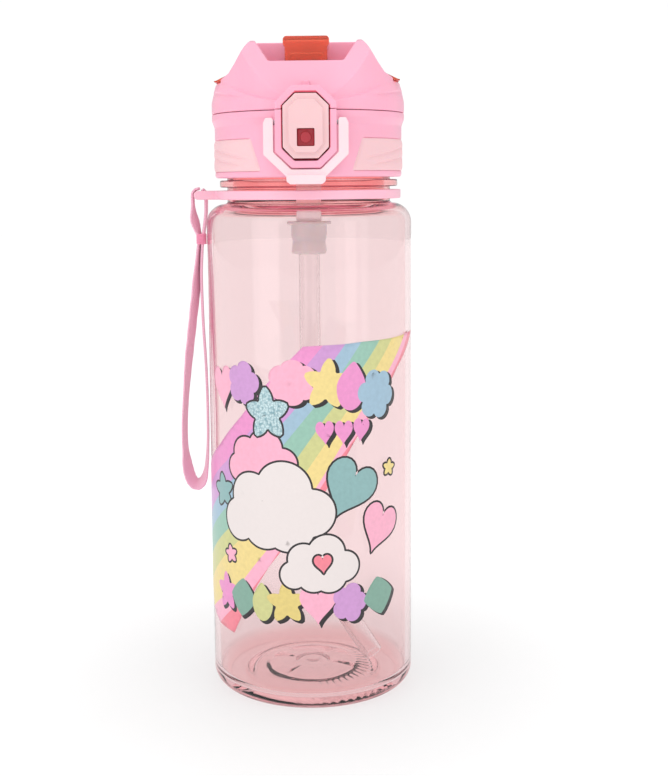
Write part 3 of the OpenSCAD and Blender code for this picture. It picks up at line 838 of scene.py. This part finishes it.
# the band's stripe edges, from the top right round to the lower left: (around, height) in mm
STRIPE_EDGES = [
    [(-1.6, 126.3), (-13, 114.8), (-25, 101.5), (-37, 90.5), (-54, 79)],
    [(5, 126.6), (-5, 114.6), (-16, 102), (-33, 85), (-54, 70.5)],
    [(12.6, 126.8), (3.5, 115), (-6.5, 103), (-26, 82), (-54, 60)],
    [(18.5, 127.2), (9.5, 115), (-0.5, 103), (-20, 79), (-54, 53)],
    [(26.1, 127.3), (16, 115), (6, 103), (-13, 76), (-54, 45)],
    [(32.4, 127.4), (22, 115), (12, 103), (-8, 74), (-52, 37)],
    [(41, 127.8), (29, 115), (17.5, 103), (-2, 72), (-28, 41), (-48, 29)],
    [(45, 128), (32, 115), (21.5, 103), (2, 72), (-23, 39.5), (-40, 25.5)],
    [(50, 128.2), (35.5, 117), (24.5, 105), (9.6, 87.6), (-19.5, 42.8), (-30.1, 24.5)],
]
STRIPES = ["magenta", "purple", "blue", "green", "lime", "yellow", "pink", "rose"]
# a cloud's round lobes as parts of its width: (across, up, size), and the height of its middle
CLOUD_MIDDLE = 0.12
CLOUD = [(-0.33, 0, 0.34), (-0.2, 0.2, 0.4), (0.08, 0.28, 0.46), (0.31, 0.1, 0.38), (-0.08, 0, 0.42),
         (0.12, 0, 0.44), (0, 0.12, 0.5)]
# the dark copy behind a raised shape, and the width of the line round a drawn one
SHADOW = (1.15, -0.75)
SHADOW_GROWS = 0.25
LINE = 0.7
# the film's mesh: longest stretch of an outline, a grid that lets the film bend and keeps clear of
# the outlines, and the film's own radius and thickness
LONGEST = 1.6
GRID = 2.2
GRID_CELLS = 49
GRID_START = (-54.2, 23.2)
CLEAR_OF = 0.4
FILM_R = BODY_R + 0.1
FILM_T = 0.05


def artwork():
    """The print as outlines with an ink each, the lowest layer first."""
    layers = []
    for colour, left, right in zip(STRIPES, STRIPE_EDGES, STRIPE_EDGES[1:]):
        layers.append((colour, left[::-1] + right))

    def raised(colour, outline):
        layers.append(("black", moved(grown(outline, SHADOW_GROWS), *SHADOW)))
        layers.append((colour, outline))

    def drawn(colour, outline):
        layers.append(("black", grown(outline, LINE)))
        layers.append((colour, outline))

    # top row
    raised("pink", heart(-34.6, 110.6, 12.4, 15, 8))
    raised("purple", flower(-24, 113.2, 13.8, 6, 1.1))
    raised("pink", puff(-5.4, 114.2, 17.4, 15.4, 6))
    raised("yellow", star(6.2, 113.6, 17, -6, 1.08))
    raised("magenta", drop(14.8, 112.6, 10.6, 16.4, -6))
    raised("blue", flower(24.6, 109.2, 15.4, -10, 1.12, 6))
    # small row
    raised("magenta", heart(5.4, 97.2, 6.2, 8.2, 3))
    raised("magenta", heart(11.8, 97, 6.4, 8.4, -2))
    raised("magenta", heart(18.2, 97.4, 6.2, 8.2, -6))
    # bottom row
    raised("magenta", star(-34.2, 38.6, 13, 4, 1.12))
    raised("sage", diamond(-25.4, 38.4, 11.4, 13.6, -4))
    raised("lime", drop(-17, 38.2, 8, 13.4, 2))
    raised("gold", star(-8.2, 38.6, 15, 4, 1.02))
    raised("pink", heart(2.6, 38, 12.6, 13.6, 0))
    raised("purple", flower(13.6, 38.4, 12.8, 0, 1.08))
    raised("sage", diamond(25.4, 39, 13, 13.6, 8))
    # clouds, hearts and stars
    drawn("teal", star(-35.4, 74.4, 12.5, 10))
    drawn("teal", heart(13.4, 77.2, 19, 20, -28))
    drawn("pink", heart(25.4, 62.4, 15.5, 17, -24))
    drawn("pink", cloud(-17.5, 84, 27))
    drawn("white", cloud(-12.3, 65.9, 42))
    drawn("white", cloud(3.4, 48.6, 27))
    drawn("glitter", star(-14.4, 103.4, 16.6, 4, 1.14))
    drawn("rose", heart(4.4, 52.4, 6, 6.4, 4))
    drawn("yellow", star(30.4, 83, 6, -8))
    drawn("pink", star(-31.2, 52.6, 6.6, 12))
    return layers


def inside(x, z, outline):
    """True where a point lies in an outline."""
    hit = False
    for (x0, z0), (x1, z1) in zip(outline, outline[1:] + outline[:1]):
        if (z0 > z) != (z1 > z) and x < (x1 - x0) * (z - z0) / (z1 - z0) + x0:
            hit = not hit
    return hit


def film_mesh(layers):
    """Flat triangles in (around, height) that follow every outline of the print."""
    points, edges = [], []
    for _, outline in layers:
        first = len(points)
        for a, b in zip(outline, outline[1:] + outline[:1]):
            parts = max(1, math.ceil(math.dist(a, b) / LONGEST))
            points += [Vector(a).lerp(Vector(b), k / parts) for k in range(parts)]
        count = len(points) - first
        edges += [(first + k, first + (k + 1) % count) for k in range(count)]
    starts = np.array([points[a] for a, _ in edges])
    ways = np.array([points[b] for _, b in edges]) - starts
    for i in range(GRID_CELLS):
        for j in range(GRID_CELLS):
            spot = np.array(GRID_START) + GRID * np.array((i, j))
            # a grid point close to an outline would make slivers, which shade as dark dots
            along = np.clip(((spot - starts) * ways).sum(1) / (ways ** 2).sum(1), 0, 1)
            if np.hypot(*(starts + ways * along[:, None] - spot).T).min() > CLEAR_OF:
                points.append(Vector(spot))
    flat, _, triangles, *_ = geometry.delaunay_2d_cdt(points, edges, [], 0, 1e-4)
    return flat, triangles


def make_print():
    """One thin film round the front of the bottle, cut into areas of single inks."""
    layers = artwork()
    flat, triangles = film_mesh(layers)
    boxes = [(min(p[0] for p in o), max(p[0] for p in o), min(p[1] for p in o),
              max(p[1] for p in o)) for _, o in layers]
    names = list(INKS)
    faces, inks = [], []
    for corners in triangles:
        x, z = sum((flat[k] for k in corners), Vector((0, 0))) / 3
        for (colour, outline), (x0, x1, z0, z1) in zip(reversed(layers), reversed(boxes)):
            if x0 <= x <= x1 and z0 <= z <= z1 and inside(x, z, outline):
                faces.append(tuple(corners))
                inks.append(names.index(colour))
                break
    used = sorted({k for f in faces for k in f})
    place = {k: i for i, k in enumerate(used)}
    verts = [(FILM_R * sin(flat[k].x / BODY_R), -FILM_R * cos(flat[k].x / BODY_R),
              flat[k].y) for k in used]
    film = add_piece("printed_film", (verts, [tuple(place[k] for k in f) for f in faces]),
                     "bottle", list(INKS.values()))
    for face, number in zip(film.data.polygons, inks):
        face.material_index = number
    thick = film.modifiers.new("film", "SOLIDIFY")
    thick.thickness = FILM_T * MM
    thick.offset = 1.0


# ---------------------------------------------------------------- lid

# grooves pressed into the lid's sides, each from (degrees round from the front, height) to another
CREASES = [((34, 187.4), (78, 191.6)), ((40, 185.6), (80, 188.4)), ((38, 208.2), (76, 210.6))]
CREASE_DEEP = 0.6
# the CAD's round walls: how many flats they have, from which radius they are made truly round, and
# the base's own radius
FACETS = 96
ROUND_FROM = 31.9
BASE_R = 32.6
# the recess round the button, whose walls get a painted shade: its gap, its start behind the button's
# front and the wall at its back, then the heights of the octagon's lower and upper corners and half
# the length of its level sides
RECESS_MARGIN = 0.55
RECESS_DEPTH = 1.1
RECESS_BACK = -28
CORNER_LOW = 3.6
CORNER_HIGH = 3.9
LEVEL_HALF = 3.6


def crease_depth(turn, height):
    """How far a crease goes in at that place, for arrays of degrees from the front and heights."""
    depth = np.zeros_like(turn)
    for (a0, z0), (a1, z1) in CREASES:
        along = np.clip((turn - a0) / (a1 - a0), 0, 1)
        line = z0 + (z1 - z0) * along
        off = (height - line) / np.where(height > line, 0.75, 1.6)
        ends = np.clip((turn - a0) / 9, 0, 1) * np.clip((a1 + 12 - turn) / 14, 0, 1)
        depth = np.maximum(depth, CREASE_DEEP * ends * np.clip(1 - np.abs(off), 0, 1) ** 1.5)
    return depth


def round_sides(points):
    """Turns the round walls' flat facets into true cylinders and presses the creases in."""
    x, y, z = points.T
    radius = np.hypot(x, y)
    angle = np.arctan2(y, x)
    facet = 2 * np.pi / FACETS
    off = (angle % facet) - facet / 2
    wall = np.clip((radius - ROUND_FROM) / 0.3, 0, 1) * (np.abs(y) < 34) * (radius < 33.7)
    grow = 1 + wall * (np.cos(off) / cos(facet / 2) - 1)
    turn = np.degrees(np.arctan2(np.abs(x), -y))
    grow -= wall * crease_depth(turn, z) / np.maximum(radius, 1)
    return np.column_stack([x * grow, y * grow, z])


def paint_recess_shade(piece):
    """The walls round the button get a deeper pink: painted shade in the gap round it."""
    low, high = cad("push_button")
    piece.data.materials.append(RECESS_SHADE)
    for face in piece.data.polygons:
        x, y, z = face.center / MM
        corner = min(1, (z - low[2]) / CORNER_LOW, (high[2] - z) / CORNER_HIGH)
        half = high[0] - (1 - corner) * (high[0] - LEVEL_HALF) + RECESS_MARGIN
        if abs(x) < half and RECESS_BACK > y > low[1] + RECESS_DEPTH and corner > -0.2:
            face.material_index = 1


def make_lid():
    """Base and cover with their moulded parts: button, latch, lock and grips."""
    base = mould("lid_base", "base_cap", "lid", PINK, 0.3, 3, 0.35, round_sides)
    hood = mould("cover_shell", "cover_hood", "cover", PINK, 0.28, 2, 0.35, round_sides)
    paint_recess_shade(base)
    paint_recess_shade(hood)
    mould("cover_inner", "cover_liner", "cover", CORAL, 0.3, 4, 0.3)
    mould("push_button", "thumb_button", "button", BUTTON_CREAM, 0.16, 5, 0.35)
    mould("latch_lever", "latch_plate", "button", LATCH, 0.16, 4, 0.4)
    mould("lock_bail", "lock_loop", "bail", BAIL_CREAM, 0.18, 7, 0.35)
    make_grips()


def make_grips():
    """Soft cream pads let into the sides of the base, with the base's creases across them."""
    low, high = cad("grip_pad_right")
    z0, z1, back_y = low[2], high[2], high[1]
    outer_r, inner_r = BASE_R + 0.35, BASE_R - 0.75
    rows, columns = 48, 120
    for side, node in ((1, "grip_pad_right"), (-1, "grip_pad_left")):
        outer, inner = [], []
        for i in range(rows + 1):
            v = i / rows
            z = z0 + (z1 - z0) * v
            front = math.degrees(math.asin((15.25 + 3.4 * v) / outer_r))
            back = 90 + math.degrees(math.asin(back_y / outer_r))
            out_row, in_row = [], []
            for j in range(columns + 1):
                turn = front + (back - front) * j / columns
                edge = min(v * (z1 - z0), (1 - v) * (z1 - z0), (turn - front) * radians(outer_r),
                           (back - turn) * radians(outer_r))
                lip = 0.42 * (1 - min(1, edge / 1.5)) ** 2
                deep = float(crease_depth(np.array([turn]), np.array([z]))[0])
                for row, r in ((out_row, outer_r - lip - deep), (in_row, inner_r)):
                    a = radians(turn)
                    row.append((side * r * sin(a), -r * cos(a), z))
            outer.append(out_row[::side])
            inner.append(in_row[::side])
        add_piece("side_" + node, slab(outer, inner), "lid", GRIP, node)


def make_gasket():
    """A flat ring, grooved inside and outside at half its height."""
    low, high = cad("lid_gasket")
    r1, z0, z1 = high[0], low[2], high[2]
    r0 = NECK_BORE - 0.6
    middle = (z0 + z1) / 2
    profile = soften([(r0, z0, 0.3), (r1, z0, 0.3), (r1, middle - 0.3, 0.2), (r1 - 0.5, middle, 0.3),
                      (r1, middle + 0.3, 0.2), (r1, z1, 0.3), (r0, z1, 0.3),
                      (r0, middle + 0.3, 0.2), (r0 + 0.5, middle, 0.3), (r0, middle - 0.3, 0.2)])
    add_piece("gasket_ring", turned(profile, 192), "gasket", SILICONE, "lid_gasket")


def make_valve():
    """The small air valve: a cap on the deck over a stalk with a barb."""
    low, high = cad("vent_valve")
    centre = ((low[0] + high[0]) / 2, (low[1] + high[1]) / 2)
    cap_r = (high[0] - low[0]) / 2
    top, bottom = high[2], low[2]
    deck = top - 1
    profile = [(0, bottom)] + soften(
        [(1, bottom, 0.2), (2.3, bottom + 3, 0.3), (1.45, bottom + 3.2, 0.1),
         (1.45, deck, 0.1), (cap_r, deck, 0.1), (cap_r, top, 0.4), (1.2, top, 0.2),
         (0.9, top - 0.4, 0.2)]) + [(0, top - 0.4)]
    add_piece("vent_plug", turned(profile, 64, centre), "lid", SILICONE, "vent_valve")


def make_spout():
    """Stem, mouthpiece, connector and the straw, which bends to one side at its foot."""
    low, high = cad("spout_stem")
    bottom, top, flange_r = low[2], high[2], high[0]
    r, bore, rib_pitch = 4.4, 3.0, 6
    corners = [(bore, bottom, 0.1), (r - 0.25, bottom, 0.2), (r, bottom + 0.6, 0.2),
               (r, bottom + 3, 0.1), (r + 0.3, bottom + 4.5, 0.1), (r, bottom + 4.7, 0.1)]
    rib = bottom + 9
    while rib < top - 9:
        corners += [(r, rib, 0.1), (r + 0.25, rib + 0.3, 0.1), (r + 0.25, rib + 0.8, 0.1),
                    (r, rib + 1.1, 0.1)]
        rib += rib_pitch
    corners += [(r, top - 5, 0.4), (flange_r, top - 5, 0.4), (flange_r, top - 2, 0.2),
                (r, top - 2, 0.1), (r, top, 0.2), (bore, top, 0.1)]
    add_piece("stem_tube", turned(soften(corners), 96), "lid", STEM, "spout_stem")

    low, high = cad("mouthpiece")
    foot, tip = low[2], high[2]
    corners = [(3, foot, 0.1), (5.9, foot, 0.3), (5.9, foot + 1.2, 0.3), (7.4, foot + 1.8, 0.4),
               (7.4, foot + 3, 0.5), (5.4, foot + 4.5, 0.8), (4.9, tip - 4, 1.2),
               (5.6, tip - 1.6, 0.8), (5, tip, 0.7), (3.6, tip, 0.3), (3, tip - 0.6, 0.2)]
    add_piece("mouth_nozzle", turned(soften(corners, 6), 96), "lid", MOUTH,
              "mouthpiece")

    low, high = cad("straw_connector")
    foot, tip, rim = low[2], high[2], high[0]
    sleeve = 6.35
    corners = [(3.72, foot, 0.1), (sleeve - 0.5, foot, 0.4), (sleeve - 0.1, foot + 1, 0.4),
               (sleeve - 0.55, foot + 4.5, 0.6), (sleeve, foot + 6.5, 0.6), (sleeve, tip - 1.6, 0.4),
               (rim, tip - 1.6, 0.4), (rim, tip, 0.5), (4.8, tip, 0.2), (4.8, foot + 3.8, 0.1),
               (3.72, foot + 3.8, 0.1)]
    add_piece("straw_sleeve", turned(soften(corners), 96), "lid", SILICONE,
              "straw_connector")

    low, high = cad("straw")
    radius = high[1]
    bend_r, bend, reach, foot_z = 30.0, radians(33), 22.0, 8.5
    leg = (reach - bend_r * (1 - cos(bend))) / sin(bend)
    bend_z = foot_z + leg * cos(bend) + bend_r * sin(bend)
    route = [Vector((0, 0, z)) for z in (high[2], high[2] - 1, bend_z + 20)]
    for k in range(15):
        a = bend * k / 14
        route.append(Vector((bend_r * (1 - cos(a)), 0, bend_z - bend_r * sin(a))))
    tip = route[-1]
    route += [tip + Vector((sin(bend), 0, -cos(bend))) * leg * k / 3 for k in (1, 2, 3)]
    add_piece("straw_tube", swept(route, radius, 40, bore=radius - 0.9), "lid", STRAW,
              "straw")


def make_cover_seal():
    """The plug inside the cover that closes the spout."""
    low, high = cad("cover_seal")
    radius, z0, z1 = high[0], low[2], high[2]
    pad = z0 + 1.2
    profile = [(0, z0)] + soften([(1.5, z0, 0.3), (1.9, pad, 0.1), (2.6, pad + 0.3, 0.2),
                                  (4, pad + 0.3, 0.2), (4.6, pad, 0.2), (radius, pad, 0.4),
                                  (radius, z1, 0.3)]) + [(0, z1)]
    add_piece("spout_seal", turned(profile, 96), "cover", SILICONE, "cover_seal")


def make_pins():
    """Steel pins with chamfered ends, and the two springs wound round them."""
    for node, name in (("hinge_pin", "hinge_axle"), ("button_pin", "button_axle")):
        low, high = cad(node)
        r = (high[2] - low[2]) / 2
        y, z = (low[1] + high[1]) / 2, (low[2] + high[2]) / 2
        sections = ((low[0], r * 0.75), (low[0] + 0.25, r), (high[0] - 0.25, r), (high[0], r * 0.75))
        angles = [2 * pi * k / 40 for k in range(40)]
        rings = [[(x, y + rr * cos(a), z + rr * sin(a)) for a in angles]
                 for x, rr in sections]
        add_piece(name, skin(rings), "lid", STEEL, node)
    wind("hinge_spring", "hinge_coil", "cover", radius=1.95, wire=0.4, span=(-2.4, 2.4),
         axis=(34.6, 202.4), turns=5, leg_angle=90, leg=3.2)
    wind("button_spring", "button_coil", "button", radius=1.35, wire=0.25, span=(-2.1, 0),
         axis=(-34.6, 199.3), turns=4, leg_angle=-90, leg=5)


def wind(node, name, body, radius, wire, span, axis, turns, leg_angle, leg):
    """Wire wound round an axis along X, given by its (y, z), with a straight leg off its last turn."""
    steps = turns * 28
    end = radians(leg_angle + 90)
    route = []
    for k in range(steps + 1):
        a = end + 2 * pi * turns * k / steps
        route.append(Vector((span[0] + (span[1] - span[0]) * k / steps, axis[0] + radius * cos(a),
                             axis[1] + radius * sin(a))))
    out = Vector((0, -sin(end), cos(end)))
    route += [route[-1] + out * leg * k / 3 for k in (1, 2, 3)]
    add_piece(name, swept(route, wire, 10, Vector((1, 0, 0))), body, STEEL, node)


# ---------------------------------------------------------------- the whole object

make_camera()
neck_ring = mould("strap_ring", "neck_ring", "neck_ring", RING_PINK, 0.25, 5, 0.3)
make_strap()
make_studio()
make_bottle()
make_print()
make_lid()
make_gasket()
make_valve()
make_spout()
make_cover_seal()
make_pins()
